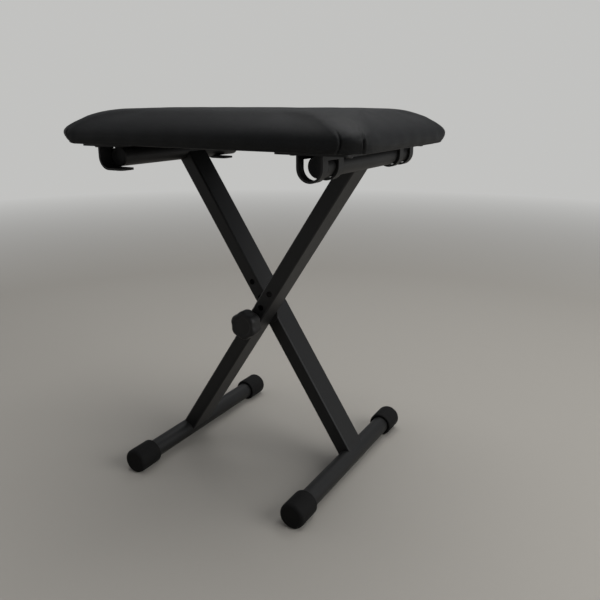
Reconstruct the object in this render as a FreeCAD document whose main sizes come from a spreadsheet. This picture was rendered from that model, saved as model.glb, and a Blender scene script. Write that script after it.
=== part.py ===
import FreeCAD, Part
import math
import os
import re
import Sketcher

# Folding keyboard bench: a single X of two rectangular legs on two round foot tubes, with two
# round tubes on top that carry an upholstered seat. The seat swings on the right top tube in
# closed straps and rests on the left one in two open hooks, so the X can be folded shut.
# Millimetres. +X runs along the seat to the right, +Y to the back, +Z up. The origin lies on the
# floor under the middle of the seat's length, in the plane where the two legs meet.

Vector = FreeCAD.Vector
doc = FreeCAD.newDocument("FoldingKeyboardBench")
sizes = doc.addObject("Spreadsheet::Sheet", "sizes")

DRIVING_SIZES = [
    ("leg_angle", 57, "slope of both legs at the top height, degrees"),
    ("arm_up", 262, "crossing bolt to top tube axis"),
    ("arm_down", 233, "crossing bolt to foot tube axis"),
    ("leg_narrow", 20, "leg tube, face that shows the holes"),
    ("leg_wide", 40, "leg tube, front to back"),
    ("leg_corner", 2.5, "outside corner radius of the leg tube"),
    ("tube_wall", 1.5, "wall of every steel tube"),
    ("hole_pitch", 25, "step between the height holes"),
    ("hole_count", 3, "height holes in each leg"),
    ("weld_gap", 0.05, "gap left for the weld between a leg and a round tube"),
    ("round_radius", 12.5, "outside radius of the foot and top tubes"),
    ("foot_length", 300, "foot tube length"),
    ("top_length", 240, "top tube length"),
    ("cap_radius", 17, "rubber foot cap"),
    ("cap_length", 38, "rubber foot cap"),
    ("cap_end", 5, "closed end of the foot cap"),
    ("cap_flat", 0.8, "depth of the flat that the cap stands on"),
    ("cap_bevel", 4.5, "bevelled end of the foot cap"),
    ("fit_gap", 0.05, "radial gap of pushed-on caps and plugs"),
    ("plug_flange", 1.8, "thickness of a plug's outer disc"),
    ("plug_depth", 12, "plug stem inside the tube"),
    ("bolt_radius", 4, "crossing bolt"),
    ("running_gap", 0.08, "radial gap of everything that turns on the bolt"),
    ("bolt_head_round", 7.5, "bolt head, corner radius of the hexagon"),
    ("bolt_head_high", 5.3, "bolt head"),
    ("bolt_in_knob", 12, "bolt thread inside the knob"),
    ("washer_radius", 12, "steel washers under knob and bolt head"),
    ("washer_thick", 1.6, "steel washers"),
    ("spacer_radius", 15, "plastic washer between the legs"),
    ("spacer_thick", 1, "plastic washer between the legs"),
    ("turn_gap", 0.1, "gap beside faces that turn on each other"),
    ("knob_radius", 22, "clamping knob"),
    ("knob_high", 13, "clamping knob, gripped part"),
    ("knob_bevel", 3, "bevelled front rim of the knob"),
    ("boss_radius", 13, "knob boss against the washer"),
    ("boss_high", 4, "knob boss"),
    ("lobe_count", 8, "grip hollows round the knob"),
    ("lobe_radius", 9, "radius of each grip hollow"),
    ("lobe_depth", 1.3, "depth of each grip hollow"),
    ("insert_radius", 6, "threaded insert in the knob"),
    ("insert_deep", 14, "threaded insert in the knob"),
    ("left_overhang", 84.5, "cushion beyond the left top tube's axis"),
    ("right_overhang", 64, "cushion beyond the right top tube's axis"),
    ("seat_width", 284, "cushion along Y"),
    ("seat_shift_y", -10, "seat centre from the leg contact plane"),
    ("side_high", 15, "widest level of the cushion above its underside"),
    ("side_drawn_in", 6, "how far the cushion's underside is drawn in"),
    ("side_power", 2.2, "how low the side curves in"),
    ("shoulder_reach", 50, "run of the soft shoulder from the side to the top"),
    ("shoulder_rise", 27, "widest level to the end of the shoulder"),
    ("shoulder_power", 1.67, "fullness of the shoulder curve"),
    ("crown_reach", 22, "run from the shoulder to the level crown"),
    ("crown_rise", 1.2, "rise of the crown inside the shoulders"),
    ("seat_corner", 30, "corner radius of the cushion in plan"),
    ("corner_growth", 0.1, "growth of the corner radius for each millimetre drawn in"),
    ("cover_thick", 1.2, "leatherette cover and cloth below"),
    ("hem_wide", 38, "cover turned under the board"),
    ("cloth_gap", 0.3, "cloth edge to the turned-under cover"),
    ("board_thick", 12, "seat board"),
    ("board_margin", 2, "foam round the edge of the board"),
    ("seat_gap", 0.3, "top tube to the bracket plate above it"),
    ("bracket_thick", 2.5, "bracket plates and straps"),
    ("bracket_wide", 48, "bracket plate along the tube"),
    ("bracket_inset", 36, "bracket middle from the cushion's long side"),
    ("bracket_corner", 6, "rounded corners of the bracket plates"),
    ("plate_outer_length", 45, "plate from the tube axis outwards"),
    ("plate_inner_length", 45, "pivot plate from the tube axis inwards"),
    ("strap_gap", 0.8, "strap or hook to the tube"),
    ("strap_wide", 12, "each of the two straps of a pivot bracket"),
    ("strap_web", 5, "height of the joined part above the straps"),
    ("hook_wide", 24, "hook along the tube"),
    ("hook_reach", 22, "hook lip beyond the tube axis"),
    ("screw_distance", 33, "screws from the tube axis"),
    ("screw_step_length", 14, "distance between the two screws of a hook"),
    ("screw_radius", 2, "wood screw"),
    ("screw_long", 12, "wood screw without its head"),
    ("screw_head_round", 4.5, "screw head, corner radius of the hexagon"),
    ("screw_head_high", 2.5, "screw head height"),
]
NAMES = set()
for row, (name, size, meaning) in enumerate(DRIVING_SIZES, start=1):
    sizes.set("A%d" % row, meaning)
    sizes.set("B%d" % row, str(size))
    sizes.setAlias("B%d" % row, name)
    NAMES.add(name)
doc.recompute()


def formula(text):
    """Return a formula with each named size written as a reference to the sheet."""

    def reference(word):
        return "sizes." + word.group() if word.group() in NAMES else word.group()

    return re.sub(r"[a-z_]+", reference, text)


def number(text):
    """Return what a formula comes to with the sheet's present values."""
    result = sizes.evalExpression(formula(text))
    return float(getattr(result, "Value", result))


# Heights and places that follow from the driving sizes, from the floor under the crossing bolt
SLOPE_SINE = "sin(leg_angle)"
SLOPE_COSINE = "cos(leg_angle)"
FOOT_Z = "(cap_radius - cap_flat)"
FOOT_X = "(arm_down * %s)" % SLOPE_COSINE
CROSS_Z = "(%s + arm_down * %s)" % (FOOT_Z, SLOPE_SINE)
TOP_X = "(arm_up * %s)" % SLOPE_COSINE
TOP_Z = "(%s + arm_up * %s)" % (CROSS_Z, SLOPE_SINE)
LEG_Y = "((spacer_thick + leg_wide) / 2 + turn_gap)"
LEG_FACE_Y = "(spacer_thick / 2 + turn_gap + leg_wide)"
PLATE_Z = "(round_radius + seat_gap)"
SEAT_LENGTH = "(2 * %s + left_overhang + right_overhang)" % TOP_X
SEAT_X = "((right_overhang - left_overhang) / 2)"
SEAT_Z = "(%s + %s + bracket_thick)" % (TOP_Z, PLATE_Z)
BRACKET_Y = "(seat_width / 2 - bracket_inset)"
STRAP_IN = "(round_radius + strap_gap)"
STRAP_OUT = "(%s + bracket_thick)" % STRAP_IN
BOLT_HOLE = "(bolt_radius + running_gap)"
FRONT = 1
REAR = -1
CLOSE = 0.01
NEARLY_UPRIGHT = 0.99


def bind(thing, prop, text):
    thing.setExpression(prop, formula(text))


def place(thing, x, y, z, axis="0;0;1", angle="0"):
    """Put a sub-part at a point given from the floor under the crossing bolt."""
    spot = "vector(%s - %s; %s; %s)" % (x, SEAT_X, y, z)
    bind(thing, "Placement", "placement(%s; rotation(vector(%s); %s))" % (spot, axis, angle))


def place_along_y(thing, x, y, z, side=FRONT):
    """Turn a sub-part made along its own Z so that it points to the front or to the rear."""
    place(thing, x, y, z, "1;0;0", "%d" % (90 * side))


def new_body(label):
    body = doc.addObject("PartDesign::Body", label)
    body.Label = label
    return body


def origin_part(body, role):
    return next(part for part in body.Origin.OriginFeatures if part.Role == role)


def new_sketch(body, name, plane, along="0", up="0", out="0"):
    """Start a sketch on an origin plane of the body, moved in and off that plane."""
    sketch = body.newObject("Sketcher::SketchObject", body.Label + "_" + name)
    sketch.AttachmentSupport = (origin_part(body, plane), "")
    sketch.MapMode = "FlatFace"
    for axis, text in zip("xyz", (along, up, out)):
        bind(sketch, "AttachmentOffset.Base." + axis, text)
    return sketch


def add_size(sketch, text, kind, *ends):
    index = sketch.addConstraint(Sketcher.Constraint(kind, *ends, number(text)))
    bind(sketch, "Constraints[%d]" % index, text)


def add_circle(sketch, radius):
    circle = sketch.addGeometry(Part.Circle(Vector(), Vector(0, 0, 1), number(radius)))
    sketch.addConstraint(Sketcher.Constraint("Coincident", circle, 3, -1, 1))
    add_size(sketch, radius, "Radius", circle)


def add_rectangle(sketch, wide, high):
    """Draw a rectangle centred on the sketch's own origin."""
    x = number(wide) / 2
    y = number(high) / 2
    corners = [Vector(-x, -y), Vector(x, -y), Vector(x, y), Vector(-x, y)]
    lines = [sketch.addGeometry(Part.LineSegment(corners[i], corners[(i + 1) % 4])) for i in range(4)]
    for i in range(4):
        sketch.addConstraint(Sketcher.Constraint("Coincident", lines[i], 2, lines[(i + 1) % 4], 1))
        sketch.addConstraint(Sketcher.Constraint("Vertical" if i % 2 else "Horizontal", lines[i]))
    sketch.addConstraint(Sketcher.Constraint("Symmetric", lines[0], 1, lines[2], 1, -1, 1))
    add_size(sketch, wide, "DistanceX", lines[0], 1, lines[0], 2)
    add_size(sketch, high, "DistanceY", lines[1], 1, lines[1], 2)


def add_outline(sketch, corners):
    """Draw a closed outline. A corner is (x, y, next stretch), and the stretch is a line or an
    arc about the sketch's origin, to the left or right, that ends on an axis of the sketch."""
    points = [Vector(number(x), number(y)) for x, y, _ in corners]
    edges = []
    for i, (_, _, stretch) in enumerate(corners):
        begin = points[i]
        end = points[(i + 1) % len(points)]
        if stretch == "line":
            edges.append((sketch.addGeometry(Part.LineSegment(begin, end)), 1, 2))
            continue
        first, last = (begin, end) if stretch == "left" else (end, begin)
        circle = Part.Circle(Vector(), Vector(0, 0, 1), first.Length)
        start_angle = math.atan2(first.y, first.x) % (2 * math.pi)
        end_angle = math.atan2(last.y, last.x) % (2 * math.pi)
        if end_angle <= start_angle:
            end_angle += 2 * math.pi
        arc = sketch.addGeometry(Part.ArcOfCircle(circle, start_angle, end_angle))
        sketch.addConstraint(Sketcher.Constraint("Coincident", arc, 3, -1, 1))
        edges.append((arc, 1, 2) if stretch == "left" else (arc, 2, 1))
    for i, (x, y, _) in enumerate(corners):
        before, _, before_end = edges[i - 1]
        edge, edge_start, _ = edges[i]
        sketch.addConstraint(Sketcher.Constraint("Coincident", before, before_end, edge, edge_start))
        after_arc = corners[i - 1][2] != "line"
        if not after_arc or x == "0":
            add_size(sketch, x, "DistanceX", -1, 1, edge, edge_start)
        if not after_arc or y == "0":
            add_size(sketch, y, "DistanceY", -1, 1, edge, edge_start)


def pad(body, name, sketch, length, middle=False):
    feature = body.newObject("PartDesign::Pad", body.Label + "_" + name)
    feature.Profile = sketch
    feature.Midplane = middle
    bind(feature, "Length", length)
    return feature


def pocket(body, name, sketch, length, middle=True, reverse=False):
    """Cut a sketch out of the body and make sure that it took something away."""
    doc.recompute()
    before = body.Shape.Volume
    feature = body.newObject("PartDesign::Pocket", body.Label + "_" + name)
    feature.Profile = sketch
    feature.Midplane = middle
    feature.Reversed = reverse
    bind(feature, "Length", length)
    doc.recompute()
    if body.Shape.Volume >= before:
        raise ValueError("%s cuts nothing from %s" % (name, body.Label))
    return feature


def revolve(body, name, sketch):
    feature = body.newObject("PartDesign::Revolution", body.Label + "_" + name)
    feature.Profile = sketch
    feature.ReferenceAxis = (sketch, ["V_Axis"])
    feature.Angle = 360
    return feature


def fillet(body, name, base, radius, wanted):
    """Round the edges of a feature for which wanted(edge) is true."""
    doc.recompute()
    edges = ["Edge%d" % i for i, edge in enumerate(base.Shape.Edges, start=1) if wanted(edge)]
    feature = body.newObject("PartDesign::Fillet", body.Label + "_" + name)
    feature.Base = (base, edges)
    bind(feature, "Radius", radius)
    return feature


def is_upright(edge):
    """True for a straight edge along the sub-part's own Z."""
    return isinstance(edge.Curve, Part.Line) and abs(edge.Curve.Direction.z) > NEARLY_UPRIGHT


# Legs: rectangular tubes along their own Z from foot to top, with the crossing bolt at their origin
def make_leg(label, side, lean):
    leg = new_body(label)
    section = new_sketch(leg, "section", "XY_Plane", out="-arm_down")
    add_rectangle(section, "leg_narrow", "leg_wide")
    add_rectangle(section, "leg_narrow - 2 * tube_wall", "leg_wide - 2 * tube_wall")
    tube = pad(leg, "tube", section, "arm_down + arm_up")

    def outer_corner(edge):
        middle = edge.BoundBox.Center
        return is_upright(edge) and abs(abs(middle.x) - number("leg_narrow / 2")) < CLOSE

    fillet(leg, "corners", tube, "leg_corner", outer_corner)
    for name, height in (("top_saddle", "arm_up"), ("foot_saddle", "-arm_down")):
        saddle = new_sketch(leg, name + "_circle", "XZ_Plane", up=height)
        add_circle(saddle, "round_radius + weld_gap")
        pocket(leg, name, saddle, "2 * leg_wide")
    bolt_hole = new_sketch(leg, "hole_circle", "XZ_Plane")
    add_circle(bolt_hole, BOLT_HOLE)
    hole = pocket(leg, "hole", bolt_hole, "2 * leg_wide")
    holes = leg.newObject("PartDesign::LinearPattern", label + "_height_holes")
    holes.Originals = [hole]
    holes.Direction = (origin_part(leg, "Z_Axis"), [""])
    bind(holes, "Length", "hole_pitch * (hole_count - 1)")
    bind(holes, "Occurrences", "hole_count")
    leg.Tip = holes
    place(leg, "0", "-%d * %s" % (side, LEG_Y), CROSS_Z, "0;1;0", "%d * (90 - leg_angle)" % lean)
    return leg


# Round tubes, with their own Z along the tube
def make_round_tube(label, length, x, z):
    tube = new_body(label)
    ring = new_sketch(tube, "ring", "XY_Plane")
    add_circle(ring, "round_radius")
    add_circle(ring, "round_radius - tube_wall")
    pad(tube, "length", ring, length, middle=True)
    place_along_y(tube, x, "0", z)
    return tube


# Rubber foot caps: their own Z runs from the mouth to the closed, bevelled end, and they stand
# on -Y
def make_foot_cap(label, side, x):
    cap = new_body(label)
    profile = new_sketch(cap, "profile", "XZ_Plane")
    bore = "round_radius + fit_gap"
    add_outline(profile, [
        (bore, "0", "line"),
        ("cap_radius", "0", "line"),
        ("cap_radius", "cap_length - cap_bevel", "line"),
        ("cap_radius - cap_bevel", "cap_length", "line"),
        ("0", "cap_length", "line"),
        ("0", "cap_length - cap_end", "line"),
        (bore, "cap_length - cap_end", "line"),
    ])
    revolve(cap, "shell", profile)
    sole = new_sketch(cap, "sole_block", "XY_Plane", up="-%d * cap_radius" % side)
    add_rectangle(sole, "2 * cap_radius", "2 * cap_flat")
    pocket(cap, "sole", sole, "2 * cap_length")
    mouth = "(foot_length / 2 - cap_length + cap_end)"
    place_along_y(cap, x, "-%d * %s" % (side, mouth), FOOT_Z, side)
    return cap


# Plugs in the open ends of the top tubes: a round flange, and a stem with six ridges that grip
# the tube. Their own Z points out of the tube.
def make_top_plug(label, side, x):
    stem = doc.addObject("Part::Prism", label + "_stem")
    stem.Polygon = 6
    bind(stem, "Circumradius", "round_radius - tube_wall - fit_gap")
    bind(stem, "Height", "plug_depth")
    bind(stem, "Placement.Base.z", "-plug_depth")
    flange = doc.addObject("Part::Cylinder", label + "_flange")
    bind(flange, "Radius", "round_radius")
    bind(flange, "Height", "plug_flange")
    plug = doc.addObject("Part::Fuse", label)
    plug.Base = stem
    plug.Tool = flange
    plug.Label = label
    place_along_y(plug, x, "-%d * top_length / 2" % side, TOP_Z, side)
    return plug


def make_washer(label, radius, bore, thick, y):
    washer = new_body(label)
    ring = new_sketch(washer, "ring", "XY_Plane")
    add_circle(ring, radius)
    add_circle(ring, bore)
    pad(washer, "thickness", ring, thick, middle=True)
    place_along_y(washer, "0", y, CROSS_Z)
    return washer


# Crossing bolt: hexagon head at the rear, and its own Z points to the front
def make_bolt(label):
    head = doc.addObject("Part::Prism", label + "_head")
    head.Polygon = 6
    bind(head, "Circumradius", "bolt_head_round")
    bind(head, "Height", "bolt_head_high")
    bind(head, "Placement.Base.z", "-bolt_head_high")
    shank = doc.addObject("Part::Cylinder", label + "_shank")
    bind(shank, "Radius", "bolt_radius")
    bind(shank, "Height", "2 * %s + 2 * (washer_thick + turn_gap) + bolt_in_knob" % LEG_FACE_Y)
    bolt = doc.addObject("Part::Fuse", label)
    bolt.Base = head
    bolt.Tool = shank
    bolt.Label = label
    place_along_y(bolt, "0", "%s + turn_gap + washer_thick" % LEG_FACE_Y, CROSS_Z)
    return bolt


KNOB_Y = "-(%s + washer_thick + turn_gap)" % LEG_FACE_Y


# Clamping knob: its own Z points to the front, away from the leg, and the front rim is bevelled
def make_knob(label):
    knob = new_body(label)
    profile = new_sketch(knob, "profile", "XZ_Plane")
    add_outline(profile, [
        ("insert_radius", "0", "line"),
        ("boss_radius", "0", "line"),
        ("boss_radius", "boss_high", "line"),
        ("knob_radius", "boss_high", "line"),
        ("knob_radius", "boss_high + knob_high - knob_bevel", "line"),
        ("knob_radius - knob_bevel", "boss_high + knob_high", "line"),
        ("0", "boss_high + knob_high", "line"),
        ("0", "insert_deep", "line"),
        ("insert_radius", "insert_deep", "line"),
    ])
    revolve(knob, "turned", profile)
    lobe = new_sketch(knob, "lobe_circle", "XY_Plane", along="knob_radius + lobe_radius - lobe_depth")
    add_circle(lobe, "lobe_radius")
    hollow = pocket(knob, "lobe", lobe, "3 * (boss_high + knob_high)")
    lobes = knob.newObject("PartDesign::PolarPattern", label + "_lobes")
    lobes.Originals = [hollow]
    lobes.Axis = (origin_part(knob, "Z_Axis"), [""])
    lobes.Angle = 360
    bind(lobes, "Occurrences", "lobe_count")
    knob.Tip = lobes
    place_along_y(knob, "0", KNOB_Y, CROSS_Z)
    return knob


def make_insert(label):
    insert = new_body(label)
    ring = new_sketch(insert, "ring", "XY_Plane")
    add_circle(ring, "insert_radius")
    add_circle(ring, BOLT_HOLE)
    pad(insert, "length", ring, "insert_deep")
    place_along_y(insert, "0", KNOB_Y, CROSS_Z)
    return insert


# Brackets: their own origin is on the top tube's axis in the middle of the plate
def add_plate(body, plate_in, inward, screws):
    """Add the flat plate under the seat, with rounded corners and its screw holes."""
    middle = "%d * (%s - plate_outer_length) / 2" % (inward, plate_in)
    outline = new_sketch(body, "plate_outline", "XY_Plane", along=middle, out=PLATE_Z)
    add_rectangle(outline, "plate_outer_length + %s" % plate_in, "bracket_wide")
    plate = pad(body, "plate", outline, "bracket_thick")

    def plate_corner(edge):
        return is_upright(edge) and abs(edge.BoundBox.ZLength - number("bracket_thick")) < CLOSE

    fillet(body, "plate_corners", plate, "bracket_corner", plate_corner)
    for i, (x, y) in enumerate(screws):
        circle = new_sketch(body, "screw_circle_%d" % i, "XY_Plane", along=x, up=y, out=PLATE_Z)
        add_circle(circle, "screw_radius + fit_gap")
        pocket(body, "screw_hole_%d" % i, circle, "3 * bracket_thick")


PIVOT_SCREWS = [("screw_distance", "0"), ("-screw_distance", "0")]
HOOK_SCREWS = [("-screw_distance", "-screw_step_length / 2"), ("-screw_distance", "screw_step_length / 2")]


def make_pivot_bracket(label, y):
    bracket = new_body(label)
    strap = new_sketch(bracket, "strap_outline", "XZ_Plane")
    add_outline(strap, [
        ("-" + STRAP_OUT, PLATE_Z, "line"),
        ("-" + STRAP_OUT, "0", "left"),
        (STRAP_OUT, "0", "line"),
        (STRAP_OUT, PLATE_Z, "line"),
        (STRAP_IN, PLATE_Z, "line"),
        (STRAP_IN, "0", "right"),
        ("-" + STRAP_IN, "0", "line"),
        ("-" + STRAP_IN, PLATE_Z, "line"),
    ])
    pad(bracket, "strap", strap, "bracket_wide", middle=True)
    window_high = "(%s - strap_web + 2 * %s)" % (PLATE_Z, STRAP_OUT)
    window_middle = "%s - strap_web - %s / 2" % (PLATE_Z, window_high)
    window = new_sketch(bracket, "window_outline", "YZ_Plane", up=window_middle)
    add_rectangle(window, "bracket_wide - 2 * strap_wide", window_high)
    pocket(bracket, "window", window, "3 * %s" % STRAP_OUT)
    add_plate(bracket, "plate_inner_length", -1, PIVOT_SCREWS)
    place(bracket, TOP_X, "seat_shift_y + %s" % y, TOP_Z)
    return bracket


def make_hook_bracket(label, y):
    bracket = new_body(label)
    hook = new_sketch(bracket, "hook_outline", "XZ_Plane", out="bracket_wide / 2 - hook_wide")
    add_outline(hook, [
        ("-" + STRAP_OUT, PLATE_Z, "line"),
        ("-" + STRAP_OUT, "0", "left"),
        ("0", "-" + STRAP_OUT, "line"),
        ("hook_reach", "-" + STRAP_OUT, "line"),
        ("hook_reach", "-" + STRAP_IN, "line"),
        ("0", "-" + STRAP_IN, "right"),
        ("-" + STRAP_IN, "0", "line"),
        ("-" + STRAP_IN, PLATE_Z, "line"),
    ])
    pad(bracket, "hook", hook, "hook_wide")
    add_plate(bracket, "hook_reach", 1, HOOK_SCREWS)
    place(bracket, "-" + TOP_X, "seat_shift_y + %s" % y, TOP_Z)
    return bracket


# Screws: hexagon heads under the plates, and shanks, drawn with six sides too, up into the board
def screw_places():
    """Return each screw's x and y from the floor under the crossing bolt."""
    places = []
    for side in ("-" + BRACKET_Y, BRACKET_Y):
        for x, y in PIVOT_SCREWS:
            places.append(("(%s + %s)" % (TOP_X, x), "(seat_shift_y + %s + %s)" % (side, y)))
        for x, y in HOOK_SCREWS:
            places.append(("(-%s + %s)" % (TOP_X, x), "(seat_shift_y + %s + %s)" % (side, y)))
    return places


def make_screws(label):
    screws = []
    for i, (x, y) in enumerate(screw_places()):
        head = doc.addObject("Part::Prism", "screw_head_%d" % i)
        head.Polygon = 6
        bind(head, "Circumradius", "screw_head_round")
        bind(head, "Height", "screw_head_high")
        bind(head, "Placement.Base.z", "-screw_head_high")
        shank = doc.addObject("Part::Prism", "screw_shank_%d" % i)
        shank.Polygon = 6
        bind(shank, "Circumradius", "screw_radius")
        bind(shank, "Height", "screw_long")
        screw = doc.addObject("Part::Fuse", "screw_%d" % i)
        screw.Base = head
        screw.Tool = shank
        place(screw, x, y, "%s + %s" % (TOP_Z, PLATE_Z))
        screws.append(screw)
    group = doc.addObject("Part::Compound", label)
    group.Links = screws
    group.Label = label
    return group


def make_screw_holes():
    """Return the holes of all the screws as one cutting tool in the seat's own place."""
    holes = []
    for i, (x, y) in enumerate(screw_places()):
        hole = doc.addObject("Part::Prism", "screw_bore_%d" % i)
        hole.Polygon = 6
        bind(hole, "Circumradius", "screw_radius + fit_gap")
        bind(hole, "Height", "screw_long + fit_gap")
        place(hole, x, y, "%s + %s" % (TOP_Z, PLATE_Z))
        holes.append(hole)
    tool = doc.addObject("Part::Compound", "screw_bores")
    tool.Links = holes
    return tool


# Cushion: sections that are rounded rectangles, lofted from the drawn-in underside over the
# widest level and the soft shoulder to the crown
def rounded_rectangle(half_x, half_y, corner, z):
    """Return a closed wire of four lines and four quarter arcs."""
    edges = []
    lean = corner * (1 - math.sqrt(0.5))
    for turn_x, turn_y in ((1, 1), (-1, 1), (-1, -1), (1, -1)):
        on_side = Vector(turn_x * half_x, turn_y * (half_y - corner), z)
        on_end = Vector(turn_x * (half_x - corner), turn_y * half_y, z)
        middle = Vector(turn_x * (half_x - lean), turn_y * (half_y - lean), z)
        first, last = (on_side, on_end) if turn_x == turn_y else (on_end, on_side)
        edges.append(Part.Arc(first, middle, last).toShape())
    wire = []
    for i, arc in enumerate(edges):
        following = edges[(i + 1) % 4]
        wire.append(arc)
        wire.append(Part.LineSegment(arc.lastVertex(True).Point, following.firstVertex(True).Point).toShape())
    return Part.Wire(wire)


SIDE_STEPS = 2
SHOULDER_STEPS = 4


def cushion_levels():
    """Return (distance drawn in, height) of each section, from the underside to the crown."""
    levels = []
    for step in range(SIDE_STEPS):
        below = 1 - step / SIDE_STEPS
        drawn_in = number("side_drawn_in") * below ** number("side_power")
        levels.append((drawn_in, number("side_high") * (1 - below)))
    power = 2 / number("shoulder_power")
    for step in range(SHOULDER_STEPS + 1):
        turn = math.pi / 2 * step / SHOULDER_STEPS
        drawn_in = number("shoulder_reach") * (1 - math.cos(turn) ** power)
        height = number("side_high") + number("shoulder_rise") * math.sin(turn) ** power
        levels.append((drawn_in, height))
    top = number("side_high + shoulder_rise + crown_rise")
    levels.append((number("shoulder_reach + crown_reach"), top))
    return levels


def cushion_form(skin):
    """Return the cushion as a solid, with its whole surface moved in by a skin."""
    levels = cushion_levels()
    whole = levels[-1][1]
    wires = []
    for drawn_in, height in levels:
        half_x = number(SEAT_LENGTH + " / 2") - skin - drawn_in
        half_y = number("seat_width / 2") - skin - drawn_in
        corner = number("seat_corner") + number("corner_growth") * drawn_in - skin
        level = skin + height * (whole - 2 * skin) / whole
        wires.append(rounded_rectangle(half_x, half_y, corner, level))
    return Part.makeLoft(wires, True, True)


SEAT_PLACE = (SEAT_X, "seat_shift_y", SEAT_Z)


def make_cushion_form(label, skin):
    form = doc.addObject("Part::Feature", label)
    form.Shape = cushion_form(skin)
    place(form, *SEAT_PLACE)
    return form


def make_slab(label, half_x, half_y, corner, thick, low):
    """Return a rounded flat slab, centred under the seat, whose underside lies at this height."""
    slab = new_body(label)
    outline = new_sketch(slab, "outline", "XY_Plane", out=low)
    add_rectangle(outline, "2 * %s" % half_x, "2 * %s" % half_y)
    block = pad(slab, "block", outline, thick)
    fillet(slab, "corners", block, corner, is_upright)
    place(slab, *SEAT_PLACE)
    return slab


def cut(label, base, tools):
    """Take the tools out of the base, one after another."""
    result = base
    for i, tool in enumerate(tools):
        step = doc.addObject("Part::Cut", label if i == len(tools) - 1 else "%s_step_%d" % (label, i))
        step.Base = result
        step.Tool = tool
        result = step
    result.Label = label
    return result


def make_seat(parts):
    bores = make_screw_holes()
    board_x = "(%s / 2 - side_drawn_in - cover_thick - board_margin)" % SEAT_LENGTH
    board_y = "(seat_width / 2 - side_drawn_in - cover_thick - board_margin)"
    blank = make_slab("board_blank", board_x, board_y, "seat_corner", "board_thick", "cover_thick")
    outside = make_cushion_form("cushion_outside", 0.0)
    inside = make_cushion_form("cushion_inside", number("cover_thick"))
    open_x = "(%s / 2 - side_drawn_in - hem_wide)" % SEAT_LENGTH
    open_y = "(seat_width / 2 - side_drawn_in - hem_wide)"
    opening = make_slab("hem_opening", open_x, open_y, "seat_corner", "2 * cover_thick", "-cover_thick / 2")
    parts.append(cut("seat_board", blank, [bores]))
    parts.append(cut("seat_foam", inside, [blank]))
    parts.append(cut("seat_cover", outside, [inside, opening, bores]))
    cloth_x = "(%s - cloth_gap)" % open_x
    cloth_y = "(%s - cloth_gap)" % open_y
    parts.append(make_slab("seat_dust_cloth", cloth_x, cloth_y, "seat_corner - cloth_gap", "cover_thick", "0"))
    parts.append(make_pivot_bracket("front_pivot_bracket", "-" + BRACKET_Y))
    parts.append(make_pivot_bracket("rear_pivot_bracket", BRACKET_Y))
    parts.append(make_hook_bracket("front_hook_bracket", "-" + BRACKET_Y))
    parts.append(make_hook_bracket("rear_hook_bracket", BRACKET_Y))
    parts.append(make_screws("bracket_screws"))


def make_frame(parts):
    parts.append(make_leg("front_leg_tube", FRONT, 1))
    parts.append(make_leg("rear_leg_tube", REAR, -1))
    for end, x_sign in (("left", "-"), ("right", "")):
        foot_x = x_sign + FOOT_X
        top_x = x_sign + TOP_X
        parts.append(make_round_tube(end + "_foot_tube", "foot_length", foot_x, FOOT_Z))
        parts.append(make_round_tube(end + "_top_tube", "top_length", top_x, TOP_Z))
        for side_name, side in (("front", FRONT), ("rear", REAR)):
            parts.append(make_foot_cap("%s_foot_%s_cap" % (end, side_name), side, foot_x))
            parts.append(make_top_plug("%s_top_%s_plug" % (end, side_name), side, top_x))


def make_crossing(parts):
    washer_y = "(%s + turn_gap / 2 + washer_thick / 2)" % LEG_FACE_Y
    parts.append(make_bolt("crossing_bolt"))
    parts.append(make_washer("front_washer", "washer_radius", BOLT_HOLE, "washer_thick", "-" + washer_y))
    parts.append(make_washer("rear_washer", "washer_radius", BOLT_HOLE, "washer_thick", washer_y))
    parts.append(make_washer("leg_spacer_washer", "spacer_radius", BOLT_HOLE, "spacer_thick", "0"))
    parts.append(make_knob("clamping_knob"))
    parts.append(make_insert("knob_thread_insert"))


parts = []
make_frame(parts)
make_crossing(parts)
make_seat(parts)
doc.recompute()

for thing in doc.Objects:
    if "Invalid" in thing.State or "Error" in thing.State:
        raise ValueError("%s is left in the state %s" % (thing.Label, thing.State))
for part in parts:
    if part.Shape.isNull() or not part.Shape.isValid():
        raise ValueError("%s has no valid shape" % part.Label)

os.makedirs("parts", exist_ok=True)
for part in parts:
    part.Shape.exportStep("parts/%s.step" % part.Label)
print("%d sub-parts" % len(parts))
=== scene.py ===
# %% [markdown]
# # A folding keyboard bench
# The bench is one X of two rectangular steel legs. Two round tubes carry it on the floor and two
# more carry the seat. The measured solids come first, as a fixed frame. Everything below dresses
# that frame: a finish for each steel, rubber and plastic piece, and a cushion, a dust cloth, foot
# caps, tube plugs, a knob, a bolt and screws in finer detail. All lengths are metres.

# %% Load the measured bench
import math

import bmesh
import bpy
import numpy as np
from mathutils import Matrix, Vector, kdtree, noise


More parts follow.
